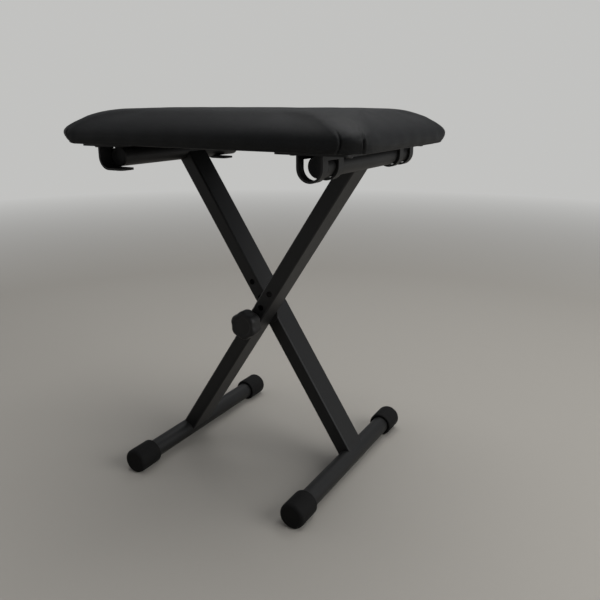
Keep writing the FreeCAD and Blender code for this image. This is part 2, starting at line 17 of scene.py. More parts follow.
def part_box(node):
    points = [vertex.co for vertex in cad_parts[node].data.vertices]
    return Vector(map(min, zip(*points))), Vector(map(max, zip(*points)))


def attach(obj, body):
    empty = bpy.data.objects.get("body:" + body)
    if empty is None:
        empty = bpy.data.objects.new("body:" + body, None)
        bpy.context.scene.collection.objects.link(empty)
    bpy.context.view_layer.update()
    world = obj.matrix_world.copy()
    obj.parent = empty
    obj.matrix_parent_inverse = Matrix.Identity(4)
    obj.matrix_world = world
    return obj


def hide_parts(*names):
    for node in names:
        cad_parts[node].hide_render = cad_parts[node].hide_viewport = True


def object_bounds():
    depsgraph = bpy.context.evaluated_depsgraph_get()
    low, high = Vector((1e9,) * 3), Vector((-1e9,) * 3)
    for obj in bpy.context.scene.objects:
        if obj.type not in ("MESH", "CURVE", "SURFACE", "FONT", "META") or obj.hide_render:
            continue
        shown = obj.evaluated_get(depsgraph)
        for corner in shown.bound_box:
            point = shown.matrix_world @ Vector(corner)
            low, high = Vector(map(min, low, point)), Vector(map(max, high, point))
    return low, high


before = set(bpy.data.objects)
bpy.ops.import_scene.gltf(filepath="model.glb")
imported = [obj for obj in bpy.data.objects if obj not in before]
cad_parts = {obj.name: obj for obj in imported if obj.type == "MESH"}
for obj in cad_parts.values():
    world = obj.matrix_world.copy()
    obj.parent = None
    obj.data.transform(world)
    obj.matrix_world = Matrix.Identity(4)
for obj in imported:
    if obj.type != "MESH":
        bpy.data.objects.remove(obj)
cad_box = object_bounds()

bench_low, bench_high = cad_box
print("bench size", [round(high - low, 4) for low, high in zip(bench_low, bench_high)])


def add_object(name, data):
    """Put mesh, camera or lamp data into the scene as an object of the same name."""
    made = bpy.data.objects.new(name, data)
    bpy.context.scene.collection.objects.link(made)
    return made


# %% [markdown]
# ## Camera
# The camera stands at seat height, to the right of the bench and in front of it, and looks down a
# little. Its place and lens were worked out from the bench's own straight tubes, so the picture
# has the same perspective as the photograph.

# %% Set the camera
CAMERA_PLACE = (0.48276, -0.73336, 0.49745)
CAMERA_DOWN = 17.006
CAMERA_TURN = 29.878
CAMERA_ROLL = -0.028
CAMERA_LENS = 38.954
SENSOR_WIDTH = 36

camera_data = bpy.data.cameras.new("bench_camera")
camera_data.lens = CAMERA_LENS
camera_data.sensor_width = SENSOR_WIDTH
camera = add_object("bench_camera", camera_data)
aim = Matrix.Rotation(math.radians(CAMERA_TURN), 4, "Z")
aim = aim @ Matrix.Rotation(math.radians(90 - CAMERA_DOWN), 4, "X")
aim = aim @ Matrix.Rotation(math.radians(CAMERA_ROLL), 4, "Z")
camera.matrix_world = Matrix.Translation(CAMERA_PLACE) @ aim
bpy.context.scene.camera = camera
bpy.context.scene.view_settings.view_transform = "Standard"
print("camera at", CAMERA_PLACE)

# %% [markdown]
# ## Writing finishes as sums
# A finish is a small sum: a grain plus a larger mottling, times a mask. Blender writes such a sum
# as a web of Math nodes. Here a value from a node can be added, multiplied and so on in Python,
# and each operator adds the Math node. Every other node comes from one method.


# %% Let node values be added and multiplied
class Value:
    """An output of a shader node. Sums with it become Math nodes."""

    def __init__(self, web, socket):
        self.web = web
        self.socket = socket

    def sum(self, operation, *terms):
        return self.web.node("ShaderNodeMath", {"operation": operation}, dict(enumerate(terms)))

    def __add__(self, other):
        return self.sum("ADD", self, other)

    def __sub__(self, other):
        return self.sum("SUBTRACT", self, other)

    def __rsub__(self, other):
        return self.sum("SUBTRACT", other, self)

    def __mul__(self, other):
        return self.sum("MULTIPLY", self, other)

    __radd__ = __add__
    __rmul__ = __mul__


class Web:
    """The nodes of a material or of the world."""

    def __init__(self, tree):
        self.tree = tree

    def node(self, kind, settings=None, inputs=None, output=0):
        """Add a node: first its settings, then the values or links of its sockets."""
        made = self.tree.nodes.new(kind)
        for name, setting in (settings or {}).items():
            setattr(made, name, setting)
        for name, value in (inputs or {}).items():
            self.join(value, made.inputs[name])
        return Value(self, made.outputs[output])

    def join(self, value, socket):
        if isinstance(value, Value):
            self.tree.links.new(value.socket, socket)
        else:
            socket.default_value = value

    def ramp(self, value, low, high):
        """Return 0 below low, 1 above high and a straight line between them."""
        inputs = {"Value": value, "From Min": low, "From Max": high}
        return self.node("ShaderNodeMapRange", {"clamp": True}, inputs)

    def blend(self, factor, first, second):
        """Mix two colours by a factor."""
        inputs = {0: factor, 6: first, 7: second}
        return self.node("ShaderNodeMix", {"data_type": "RGBA"}, inputs, output=2)

    def seen(self):
        """Return 1 for rays from the camera and from mirroring surfaces, and 0 for the rest."""
        camera_ray = self.node("ShaderNodeLightPath", output="Is Camera Ray")
        mirror_ray = self.node("ShaderNodeLightPath", output="Is Glossy Ray")
        return camera_ray.sum("MAXIMUM", camera_ray, mirror_ray)


class Finish(Web):
    """A material in the making: its surface shader and the nodes that feed it."""

    def __init__(self, name, **constants):
        self.material = bpy.data.materials.new(name)
        self.material.use_nodes = True
        super().__init__(self.material.node_tree)
        self.surface = self.tree.nodes["Principled BSDF"]
        self.feed(**constants)

    def feed(self, **inputs):
        """Set or link sockets of the surface shader; base_color stands for Base Color."""
        for name, value in inputs.items():
            words = [word if word == "IOR" else word.capitalize() for word in name.split("_")]
            self.join(value, self.surface.inputs[" ".join(words)])

    def where(self):
        """Return the place on the piece itself, so that the grain moves with the piece."""
        return self.node("ShaderNodeTexCoord", output="Object")

    def noise(self, per_metre, detail=2.0, rough=0.5, stretch=None):
        place = self.where()
        if stretch:
            place = self.node("ShaderNodeMapping", {}, {"Vector": place, "Scale": stretch})
        inputs = {"Vector": place, "Scale": per_metre, "Detail": detail, "Roughness": rough}
        return self.node("ShaderNodeTexNoise", {}, inputs)

    def cells(self, per_metre, place):
        """Return the distance to the nearest border of a field of rounded cells."""
        inputs = {"Vector": place, "Scale": per_metre}
        return self.node("ShaderNodeTexVoronoi", {"feature": "DISTANCE_TO_EDGE"}, inputs)

    def bump(self, height, depth, strength=1.0, under=None):
        """Turn a height of 0 to 1 into a normal, over the normal of a coarser bump."""
        inputs = {"Height": height, "Distance": depth, "Strength": strength}
        if under:
            inputs["Normal"] = under
        return self.node("ShaderNodeBump", {}, inputs)


def grey(shade, warm=0.0):
    """Return a near-neutral colour, a little warmer or cooler than grey."""
    return (shade * (1 + warm), shade, shade * (1 - warm), 1.0)


def wear(finish, nodes):
    """Give a finish to these pieces of the measured bench."""
    for name in nodes:
        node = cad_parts[name]
        node.data.materials.clear()
        node.data.materials.append(finish.material)
        node.data.shade_smooth()
    print(finish.material.name, "on", len(nodes), "pieces")


# %% [markdown]
# ## Skins over rings
# Nearly all new pieces are closed skins over rings of points: a cap, a knob or a screw is turned
# on a lathe, and the cushion is a stack of rounded rectangles. So one helper joins rings into a
# skin and puts a lid on each end. Another finishes a new piece and says what it rides on and
# which solids it stands for.


# %% Join rings of points into closed skins
def smooth_object(name, shape):
    """Turn an edited shape into a smooth mesh object with its faces turned outwards."""
    bmesh.ops.recalc_face_normals(shape, faces=shape.faces)
    mesh = bpy.data.meshes.new(name)
    shape.to_mesh(mesh)
    shape.free()
    mesh.shade_smooth()
    return add_object(name, mesh)


def skin_over(name, *stacks):
    """Return a mesh object with one closed skin over each stack of rings."""
    shape = bmesh.new()
    for rings in stacks:
        loops = [[shape.verts.new(point) for point in ring] for ring in rings]
        for low, high in zip(loops, loops[1:]):
            for i in range(len(low)):
                j = (i + 1) % len(low)
                shape.faces.new((low[i], low[j], high[j], high[i]))
        shape.faces.new(loops[0][::-1])
        shape.faces.new(loops[-1])
    return smooth_object(name, shape)


def turned(profile, centre, side, round_steps=48, lobes=None):
    """Return rings turned about a line along Y. The profile gives (distance along, radius)."""
    rings = []
    for along, radius in profile:
        ring = []
        for step in range(round_steps):
            angle = 2 * math.pi * step / round_steps
            reach = lobes(angle, along, radius) if lobes else radius
            out = Vector((reach * math.cos(angle), side * along, reach * math.sin(angle)))
            ring.append(centre + out)
        rings.append(ring)
    return rings


def dress(piece, finish, body, slot, *replaced, crease=35):
    """Finish a new piece, let it ride with a body and stand for the measured solids."""
    piece.data.materials.append(finish.material)
    piece.data.set_sharp_from_angle(angle=math.radians(crease))
    if replaced:
        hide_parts(*replaced)
    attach(piece, body)
    print(piece.name, "on", body, "with", len(piece.data.vertices), "points")


def middle(name):
    """Return the middle of a measured node's box."""
    low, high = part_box(name)
    return (low + high) / 2


def to_hexagon(angle):
    """Return how much further out than its flats a hexagon reaches at an angle."""
    off_flat = (angle + math.pi / 6) % (math.pi / 3) - math.pi / 6
    return 1 / math.cos(off_flat)


# %% [markdown]
# ## Powder-coated steel
# The legs, the round tubes and the brackets are steel with a baked-on black powder. Such a coat is
# satin, never quite even, and has a faint orange peel about a millimetre across. The peel is a
# bump, and the gloss changes slowly along the tube.


# %% Make the powder coat
def make_powder_coat():
    coat = Finish("black_powder_coat", specular_IOR_level=0.32)
    slow = coat.noise(14, detail=3)
    peel = coat.noise(750, detail=1)
    specks = coat.noise(2600, detail=1)
    dust = coat.ramp(coat.noise(45, detail=6, rough=0.7), 0.56, 0.78)
    coat.feed(base_color=coat.blend(dust * 0.35, grey(0.0065), grey(0.018, 0.04)))
    coat.feed(roughness=0.42 + slow * 0.1 + specks * 0.06 + dust * 0.08)
    broad = coat.bump(coat.noise(160, detail=0), 0.00012, 0.5)
    coat.feed(normal=coat.bump(peel + specks * 0.3, 0.00006, 0.6, under=broad))
    return coat


STEEL = [
    "front_leg_tube",
    "rear_leg_tube",
    "left_foot_tube",
    "right_foot_tube",
    "left_top_tube",
    "right_top_tube",
    "front_pivot_bracket",
    "rear_pivot_bracket",
    "front_hook_bracket",
    "rear_hook_bracket",
]
powder_coat = make_powder_coat()
wear(powder_coat, STEEL)

# %% [markdown]
# ## Rubber and plastic
# The foot caps are soft matt rubber that picks up dust where it meets the floor. The plugs, the
# knob and the disc between the legs are moulded plastic with a fine spark-eroded texture.


# %% Make the rubber and the plastics
def make_rubber():
    rubber = Finish("cap_rubber", specular_IOR_level=0.16)
    grain = rubber.noise(1400, detail=3, rough=0.65)
    height = rubber.node("ShaderNodeSeparateXYZ", {}, {"Vector": rubber.where()}, output="Z")
    low = 1 - rubber.ramp(height, 0.001, 0.009)
    dust = rubber.ramp(rubber.noise(120, detail=6, rough=0.7), 0.4, 0.75)
    rubber.feed(base_color=rubber.blend(dust * (0.2 + low * 0.5), grey(0.0035), grey(0.018, 0.08)))
    rubber.feed(roughness=0.66 + grain * 0.14 + dust * 0.08)
    rubber.feed(normal=rubber.bump(grain, 0.00005, 0.5))
    return rubber


def make_plastic(name, shade, rough):
    plastic = Finish(name, specular_IOR_level=0.3)
    texture = plastic.noise(2200, detail=2)
    slow = plastic.noise(40, detail=2)
    plastic.feed(base_color=plastic.blend(slow, grey(shade), grey(shade * 1.35)))
    plastic.feed(roughness=rough + slow * 0.06 + texture * 0.06)
    plastic.feed(normal=plastic.bump(texture, 0.00005, 0.5))
    return plastic


PLACES = [(end, side) for end in ("left", "right") for side in ("front", "rear")]
OUTWARD = {"front": -1, "rear": 1}
CAPS = ["%s_foot_%s_cap" % place for place in PLACES]
PLUGS = ["%s_top_%s_plug" % place for place in PLACES]
cap_rubber = make_rubber()
plug_plastic = make_plastic("plug_plastic", 0.009, 0.45)
knob_plastic = make_plastic("knob_plastic", 0.008, 0.45)
wear(cap_rubber, CAPS)
wear(plug_plastic, PLUGS + ["leg_spacer_washer"])
wear(knob_plastic, ["clamping_knob"])

# %% [markdown]
# ## Foot caps
# Each floor tube ends in a thick rubber cup. Its mouth is a soft lip that stands off the tube, so
# there is a dark ring where the tube goes in, and its far end is well rounded. The cup is turned
# from the bottom of its bore, out of the mouth and round to the end, and pressed flat on the
# floor.

# %% Turn the foot caps
CAP_LENGTH = 0.038
CAP_RADIUS = 0.017
CAP_BORE = 0.01265
CAP_FLOOR = 0.0048
CAP_LIP = 0.0026
LIP_DEEP = 0.0022
CAP_END_ROUND = 0.0052
CAP_END_FLAT = 0.0112
CAP_DISH = 0.0002
CAP_END_RADII = (0.0105, 0.0040, 0.0015)
CAP_STEPS = 64
LIP_STEPS = 8
END_STEPS = 9
FOOT_BODIES = {"left": "front_frame", "right": "rear_frame"}


def cap_profile():
    """Return (distance from the mouth, radius) from the bore's floor to the middle of the end."""
    bore_end = CAP_LENGTH - CAP_FLOOR
    profile = [(bore_end, CAP_BORE * 0.5), (bore_end, CAP_BORE), (LIP_DEEP, CAP_BORE)]
    wall = CAP_RADIUS - CAP_BORE
    for step in range(LIP_STEPS + 1):
        turn = math.pi * step / LIP_STEPS
        rise = (1 - math.cos(turn)) / 2
        along = CAP_LIP * (1 - math.sin(turn)) * (0.5 + 0.5 * rise)
        profile.append((along, CAP_BORE + wall * rise))
    for step in range(END_STEPS + 1):
        turn = math.pi / 2 * step / END_STEPS
        along = CAP_LENGTH - CAP_END_ROUND * (1 - math.sin(turn))
        profile.append((along, CAP_RADIUS - CAP_END_ROUND * (1 - math.cos(turn))))
    profile.append((CAP_LENGTH, CAP_END_FLAT))
    for radius in CAP_END_RADII:
        profile.append((CAP_LENGTH - CAP_DISH, radius))
    return profile


def make_cap(name, end, side):
    low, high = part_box(name)
    outward = OUTWARD[side]
    mouth_y = high.y if outward < 0 else low.y
    centre = Vector(((low.x + high.x) / 2, mouth_y, high.z - CAP_RADIUS))
    rings = turned(cap_profile(), centre, outward, round_steps=CAP_STEPS)
    for ring in rings:
        for point in ring:
            point.z = max(point.z, bench_low.z)
    piece = skin_over(name + "_rubber", rings)
    dress(piece, cap_rubber, FOOT_BODIES[end], "cap_rubber", name)


for cap, place in zip(CAPS, PLACES):
    make_cap(cap, *place)

# %% [markdown]
# ## Tube plugs
# The two round tubes under the seat are closed by pressed-in plugs. Only a thin flange with a
# rolled edge and a slightly domed face shows, and a stem goes into the tube.

# %% Turn the plugs
PLUG_RADIUS = 0.0125
PLUG_STEM = 0.0104
PLUG_DEEP = 0.012
PLUG_DOME = 0.0018
PLUG_GAP = 0.00002
TOP_BODIES = {"left": "rear_frame", "right": "front_frame"}
PLUG_PROFILE = [
    (-PLUG_DEEP, PLUG_STEM * 0.8),
    (-PLUG_DEEP + 0.001, PLUG_STEM),
    (PLUG_GAP, PLUG_STEM),
    (PLUG_GAP, PLUG_RADIUS),
    (0.0006, PLUG_RADIUS),
    (0.0011, PLUG_RADIUS - 0.0002),
    (0.0015, PLUG_RADIUS - 0.0007),
    (0.0017, PLUG_RADIUS - 0.0014),
    (0.0016, PLUG_RADIUS - 0.0020),
    (0.0014, PLUG_RADIUS - 0.0026),
    (0.0015, PLUG_RADIUS - 0.0050),
    (PLUG_DOME, 0.0030),
    (PLUG_DOME, 0.0010),
]


def make_plug(name, end, side):
    low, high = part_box(name)
    outward = OUTWARD[side]
    face_y = low.y if outward < 0 else high.y
    centre = Vector(((low.x + high.x) / 2, face_y - outward * PLUG_DOME, (low.z + high.z) / 2))
    piece = skin_over(name + "_disc", turned(PLUG_PROFILE, centre, outward))
    dress(piece, plug_plastic, TOP_BODIES[end], "plug_plastic", name)


for plug, place in zip(PLUGS, PLACES):
    make_plug(plug, *place)

# %% [markdown]
# ## Clamping knob
# The knob that clamps the legs is a thick six-lobed wheel on a short round boss that covers the
# washer. The lobes are wide and the valleys between them shallow, so a cosine wave raised to a
# power shapes the rim, and it fades out towards the boss and the face. The face is a little
# dished, with a moulded ring.

# %% Turn the knob
KNOB_LOBES = 6
KNOB_TURN = math.radians(5)
KNOB_DIP = 0.0018
KNOB_ROUND_WITHIN = 0.013
KNOB_LOBED_BEYOND = 0.019
KNOB_STEPS = 144
VALLEY_POWER = 1.4
FADE_POWER = 1.5
KNOB_PROFILE = [
    (0.0000, 0.0052),
    (0.0000, 0.0135),
    (0.0006, 0.0141),
    (0.0022, 0.0144),
    (0.0030, 0.0152),
    (0.0038, 0.0172),
    (0.0050, 0.0186),
    (0.0072, 0.0193),
    (0.0120, 0.0196),
    (0.0180, 0.0197),
    (0.0210, 0.0194),
    (0.0227, 0.0186),
    (0.0236, 0.0174),
    (0.0240, 0.0160),
    (0.0240, 0.0142),
    (0.0238, 0.0132),
    (0.0233, 0.0124),
    (0.0232, 0.0100),
    (0.0234, 0.0060),
    (0.0235, 0.0020),
]


def knob_lobes(angle, along, radius):
    """Return the radius with the valleys between the lobes taken off."""
    valley = (0.5 + 0.5 * math.cos(KNOB_LOBES * (angle - KNOB_TURN))) ** VALLEY_POWER
    fade = (radius - KNOB_ROUND_WITHIN) / (KNOB_LOBED_BEYOND - KNOB_ROUND_WITHIN)
    return radius - KNOB_DIP * valley * min(max(fade, 0), 1) ** FADE_POWER


bolt_middle = middle("crossing_bolt")
knob_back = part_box("clamping_knob")[1].y
knob_centre = Vector((bolt_middle.x, knob_back, bolt_middle.z))
knob_rings = turned(KNOB_PROFILE, knob_centre, -1, round_steps=KNOB_STEPS, lobes=knob_lobes)
knob = skin_over("knob_wheel", knob_rings)
dress(knob, knob_plastic, "knob", "knob_plastic", "clamping_knob", crease=50)

# %% [markdown]
# ## Bare and blackened metal
# The bolt and its washers are zinc plated, with a faint mottling. The thread in the knob is brass,
# and the screws of the brackets are blackened.


# %% Make the bare and blackened metal
def make_metal(name, colour, tint, rough):
    metal = Finish(name, metallic=1.0)
    mottle = metal.noise(380, detail=4, rough=0.6)
    brush = metal.noise(900, detail=1, stretch=(1, 1, 0.06))
    metal.feed(base_color=metal.blend(mottle, colour, tint))
    metal.feed(roughness=rough + mottle * 0.16)
    metal.feed(normal=metal.bump(brush, 0.00003, 0.4))
    return metal


zinc = make_metal("zinc_steel", (0.58, 0.58, 0.6, 1), (0.68, 0.66, 0.58, 1), 0.24)
brass = make_metal("insert_brass", (0.6, 0.42, 0.18, 1), (0.7, 0.52, 0.26, 1), 0.3)
black_screw = make_metal("black_screw", grey(0.045), grey(0.075, 0.05), 0.34)
wear(zinc, ["crossing_bolt", "front_washer", "rear_washer"])
wear(brass, ["knob_thread_insert"])
wear(black_screw, ["bracket_screws"])

# %% [markdown]
# ## Crossing bolt
# The bolt's head and the washer under it are narrower than the leg that they lie behind, as in the
# photograph. The measured washer is wider, so the bolt is turned anew with its washer as a flange.
# The head is a hexagon with a turned chamfer.

# %% Turn the crossing bolt
BOLT_SHAFT = 0.0040
BOLT_CHAMFER = 0.0006
BOLT_FLANGE = 0.0085
FLANGE_EDGE = 0.0003
BOLT_FLAT = 0.0062
BOLT_HEAD = 0.0034
BOLT_CORE = 0.0010
bolt_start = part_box("crossing_bolt")[0].y
flange_at, head_at = (face.y - bolt_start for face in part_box("rear_washer"))
head_end = head_at + BOLT_HEAD


def hexagon_head(angle, along, radius):
    """Return the radius of a ring: a hexagon where the bolt has its flats."""
    return radius * to_hexagon(angle) if radius == BOLT_FLAT else radius


bolt_profile = [
    (0.0, BOLT_CORE),
    (0.0, BOLT_SHAFT - BOLT_CHAMFER),
    (BOLT_CHAMFER, BOLT_SHAFT),
    (flange_at, BOLT_SHAFT),
    (flange_at, BOLT_FLANGE - FLANGE_EDGE),
    (flange_at + FLANGE_EDGE, BOLT_FLANGE),
    (head_at - FLANGE_EDGE, BOLT_FLANGE),
    (head_at, BOLT_FLANGE - FLANGE_EDGE),
    (head_at, BOLT_FLAT),
    (head_end - 0.0007, BOLT_FLAT),
    (head_end, BOLT_FLAT - 0.0004),
    (head_end, BOLT_CORE),
]
bolt_centre = Vector((bolt_middle.x, bolt_start, bolt_middle.z))
bolt = skin_over("bolt_with_washer", turned(bolt_profile, bolt_centre, 1, lobes=hexagon_head))
dress(bolt, zinc, "front_frame", "zinc_steel", "crossing_bolt", "rear_washer")

# %% [markdown]
# ## Bracket screws
# Eight hexagon screws with a washer face hold the brackets to the seat. Their places are read from
# the measured screws. The rings go from a hexagon to a circle at the head's end, which gives the
# turned chamfer on the six corners.

# %% Turn the screws
SCREW_STEPS = 24
SCREW_CLUSTER = 0.010
SCREW_SHANK = 0.0019
SCREW_FLANGE = 0.0056
SCREW_FLAT = 0.0039
PLATE_THICK = 0.0025
screws_low, screws_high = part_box("bracket_screws")
PLATE_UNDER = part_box("front_pivot_bracket")[1].z - PLATE_THICK


def screw_places():
    """Return the middle of each measured screw, seen from above."""
    groups = []
    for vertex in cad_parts["bracket_screws"].data.vertices:
        spot = vertex.co.xy
        near = [group for group in groups if (group[0] - spot).length < SCREW_CLUSTER]
        if near:
            near[0].append(spot.copy())
        else:
            groups.append([spot.copy()])
    middles = []
    for group in groups:
        xs = [spot.x for spot in group]
        ys = [spot.y for spot in group]
        middles.append(Vector(((min(xs) + max(xs)) / 2, (min(ys) + max(ys)) / 2)))
    return middles


def screw_ring(spot, height, radius, hexagon=0.0):
    """Return one ring of a screw, from a circle (0) to a hexagon (1)."""
    ring = []
    for step in range(SCREW_STEPS):
        angle = 2 * math.pi * step / SCREW_STEPS
        reach = radius * (1 - hexagon + hexagon * to_hexagon(angle))
        ring.append((spot.x + reach * math.cos(angle), spot.y + reach * math.sin(angle), height))
    return ring


def screw(spot):
    """Return the rings of one screw, from its tip in the board down to its head."""
    foot = screws_low.z
    return [
        screw_ring(spot, screws_high.z, 0.0006),
        screw_ring(spot, screws_high.z - 0.0015, SCREW_SHANK),
        screw_ring(spot, PLATE_UNDER, SCREW_SHANK),
        screw_ring(spot, PLATE_UNDER, SCREW_FLANGE),
        screw_ring(spot, PLATE_UNDER - 0.0004, SCREW_FLANGE),
        screw_ring(spot, PLATE_UNDER - 0.0007, SCREW_FLANGE - 0.0006),
        screw_ring(spot, PLATE_UNDER - 0.0007, SCREW_FLAT, 1.0),
        screw_ring(spot, foot + 0.0005, SCREW_FLAT, 1.0),
        screw_ring(spot, foot + 0.0002, SCREW_FLAT, 0.4),
        screw_ring(spot, foot, SCREW_FLAT * 0.94),
        screw_ring(spot, foot + 0.0001, SCREW_FLAT * 0.7),
        screw_ring(spot, foot + 0.0001, SCREW_FLAT * 0.2),
    ]


spots = screw_places()
screws = skin_over("hexagon_screws", *[screw(spot) for spot in spots])
dress(screws, black_screw, "seat", "black_screw", "bracket_screws")
print("screws", len(spots))

# %% [markdown]
# ## Seat board
# Under the foam lies a plywood board. Only its finish is made here: plies whose grain runs along
# the seat. The cover and the dust cloth close it in.


# %% Make the plywood
def make_plywood():
    wood = Finish("board_plywood", IOR=1.45)
    grain = wood.noise(60, detail=5, stretch=(0.08, 1, 1))
    wood.feed(base_color=wood.blend(grain, (0.42, 0.29, 0.17, 1), (0.6, 0.45, 0.29, 1)))
    wood.feed(roughness=0.55 + grain * 0.2)
    wood.feed(normal=wood.bump(grain, 0.00008, 0.5))
    return wood


wear(make_plywood(), ["seat_board"])

# %% [markdown]
# ## Leatherette
# The cover is black vinyl pressed with a leather grain: small rounded pebbles a little over a
# millimetre across, parted by fine creases. The creases are painted darker than the pebbles as
# painted shade. Slow dents from the foam below break up the shine.


# %% Make the leatherette
def make_leatherette():
    skin = Finish("seat_leatherette", specular_IOR_level=0.17)
    drift = skin.noise(260, detail=2)
    pull = skin.node("ShaderNodeVectorMath", {"operation": "SCALE"}, {0: drift, "Scale": 0.0016})
    place = skin.node("ShaderNodeVectorMath", {"operation": "ADD"}, {0: skin.where(), 1: pull})
    creases = skin.ramp(skin.cells(720, place), 0.0, 0.16)
    fine = skin.ramp(skin.cells(1900, place), 0.0, 0.2)
    slow = skin.noise(22, detail=2)
    # Painted shade: the colour is about half as bright along the creases as on the pebbles.
    skin.feed(base_color=skin.blend(creases, grey(0.0040, -0.06), grey(0.0085, -0.06)))
    skin.feed(roughness=0.54 - creases * 0.06 + slow * 0.08)
    skin.feed(normal=skin.bump(creases + fine * 0.25, 0.00009, 0.7))
    return skin


leatherette = make_leatherette()
wear(leatherette, ["seat_cover", "seat_foam"])


# %% [markdown]
# ## The cushion
# A foam slab stands on the board, and the cover is pulled down over it and stapled under the
# board. So the sides are drawn in towards the bottom, the widest line runs low round the seat, and
# a long soft shoulder climbs to an almost level crown. The skin is a stack of rounded rectangles:
# first the hem under the board, then the side, the shoulder and the crown. All rings have the same
# number of points in the same order, so that a fold at a corner can run down from ring to ring.

# %% Give the cushion its sections
cover_low, cover_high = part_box("seat_cover")
SEAT_X = (cover_low.x + cover_high.x) / 2
SEAT_Y = (cover_low.y + cover_high.y) / 2
SEAT_Z = cover_low.z
HALF_X = (cover_high.x - cover_low.x) / 2
HALF_Y = (cover_high.y - cover_low.y) / 2
HEM = 0.038
HEM_HIGH = 0.0005
EDGE_ROUND = 0.0025
SIDE_HIGH = 0.015
DRAWN_IN = 0.006
SIDE_POWER = 2.2
SHOULDER_REACH = 0.050
SHOULDER_RISE = 0.027
SHOULDER_POWER = 1.67
CROWN_RISE = 0.0012
CROWN_REACH = 0.045
CORNER = 0.030
CORNER_GROWTH = 0.5
CORNER_LIMIT = 0.85
CROWN_LAST = 0.004
STEPS_LONG = 90
STEPS_SHORT = 54
STEPS_CORNER = 40
HEM_PARTS = (1.0, 0.86, 0.72, 0.58, 0.44, 0.3, 0.19, 0.11)
HEM_FLAT_PART = 0.19
EDGE_STEPS = 5
EASE_REACH = 0.006
EASE_POINTS = 1200
TINY = 1e-6
print("cushion", round(2 * HALF_X, 4), "by", round(2 * HALF_Y, 4))


def hem_levels():
    """Return (distance drawn in, height) from the cut edge under the board to the outer edge."""
    side_at_round = DRAWN_IN * (1 - EDGE_ROUND / SIDE_HIGH) ** SIDE_POWER
    levels = [(DRAWN_IN + HEM + 0.003, 0.001), (DRAWN_IN + HEM, 0.001)]
    for part in HEM_PARTS:
        levels.append((DRAWN_IN + HEM * part, HEM_HIGH * min(1.0, part / HEM_FLAT_PART)))
    for step in range(EDGE_STEPS):
        turn = math.pi / 2 * step / EDGE_STEPS
        drawn_in = side_at_round + EDGE_ROUND * (1 - math.sin(turn))
        levels.append((drawn_in, EDGE_ROUND * (1 - math.cos(turn))))
    return levels


def upper_levels(side_steps=8, shoulder_steps=24, crown_steps=15):
    """Return (distance drawn in, height) from the outer edge to the middle of the crown."""
    levels = []
    for step in range(side_steps):
        height = EDGE_ROUND + (SIDE_HIGH - EDGE_ROUND) * step / side_steps
        levels.append((DRAWN_IN * (1 - height / SIDE_HIGH) ** SIDE_POWER, height))
    power = 2 / SHOULDER_POWER
    for step in range(shoulder_steps + 1):
        turn = math.pi / 2 * step / shoulder_steps
        drawn_in = SHOULDER_REACH * (1 - max(math.cos(turn), 0) ** power)
        levels.append((drawn_in, SIDE_HIGH + SHOULDER_RISE * math.sin(turn) ** power))
    crown_reach = HALF_Y - SHOULDER_REACH - CROWN_LAST
    for step in range(1, crown_steps + 1):
        reach = crown_reach * step / crown_steps
        rise = math.sin(min(reach / CROWN_REACH, 1) * math.pi / 2)
        levels.append((SHOULDER_REACH + reach, SIDE_HIGH + SHOULDER_RISE + CROWN_RISE * rise))
    return levels


def section(drawn_in, height):
    """Return the points round one level, always in the same number and order."""
    half_x = HALF_X - drawn_in
    half_y = HALF_Y - drawn_in
    corner = min(CORNER + CORNER_GROWTH * drawn_in, CORNER_LIMIT * half_y)
    arcs = []
    for quarter, (turn_x, turn_y) in enumerate(((1, 1), (-1, 1), (-1, -1), (1, -1))):
        angles = [math.radians(90 * (quarter + k / STEPS_CORNER)) for k in range(STEPS_CORNER + 1)]
        x = turn_x * (half_x - corner)
        y = turn_y * (half_y - corner)
        arcs.append([(x + corner * math.cos(a), y + corner * math.sin(a)) for a in angles])
    points = []
    for quarter in range(4):
        points += arcs[quarter]
        start = arcs[quarter][-1]
        stop = arcs[(quarter + 1) % 4][0]
        steps = STEPS_LONG if quarter % 2 == 0 else STEPS_SHORT
        for k in range(1, steps):
            points.append([start[i] + (stop[i] - start[i]) * k / steps for i in (0, 1)])
    return [(SEAT_X + x, SEAT_Y + y, SEAT_Z + height) for x, y in points]


def eased(levels):
    """Round the profile off: each level becomes the mean of the levels close to it."""
    spots = np.array(levels)
    steps = np.linalg.norm(np.diff(spots, axis=0), axis=1)
    along = np.concatenate([[0], np.cumsum(steps)])
    even = np.linspace(0, along[-1], EASE_POINTS)
    fine = np.stack([np.interp(even, along, spots[:, axis]) for axis in (0, 1)], axis=1)
    eased_spots = []
    for place, spot in zip(along, spots):
        near = min(EASE_REACH, place)
        weights = np.clip(1 - np.abs(even - place) / (near + TINY), 0, None)
        held = weights.sum() < TINY
        eased_spots.append(tuple(spot if held else weights @ fine / weights.sum()))
    return eased_spots


HEM_LEVELS = hem_levels()
HEM_RINGS = len(HEM_LEVELS)
LEVELS = HEM_LEVELS + eased(upper_levels())
target = np.array([section(*level) for level in LEVELS])
print("rings", len(LEVELS), "with", target.shape[1], "points each")

# %% [markdown]
# ## Filling the cushion
# Foam pushes the cover out between its stapled edges. Blender's cloth solver can do the same: an
# even copy of the skin, a little smaller than the real one, is blown up by pressure while its
# underside is held. Each point of the finely built skin then follows the nearest points of that
# copy. How far a point may move is capped, so the seat keeps its measured size.

# %% Blow up an even copy and let the skin follow
EVEN_SIZE = 0.006
SHRINK_SIDE = 0.0006
SHRINK_TOP = 0.0016
SWELL_CAP = 0.0018
SHRINK_FROM = 0.002
SHRINK_FULL = 0.014
HELD_BELOW = 0.004
PRESSURE = 4.0
CLOTH_QUALITY = 6
CLOTH_STRETCH = 25
CLOTH_BEND = 3
LAST_FRAME = 20
FOLLOWED = 6
FOLLOW_SOFTLY = 0.002


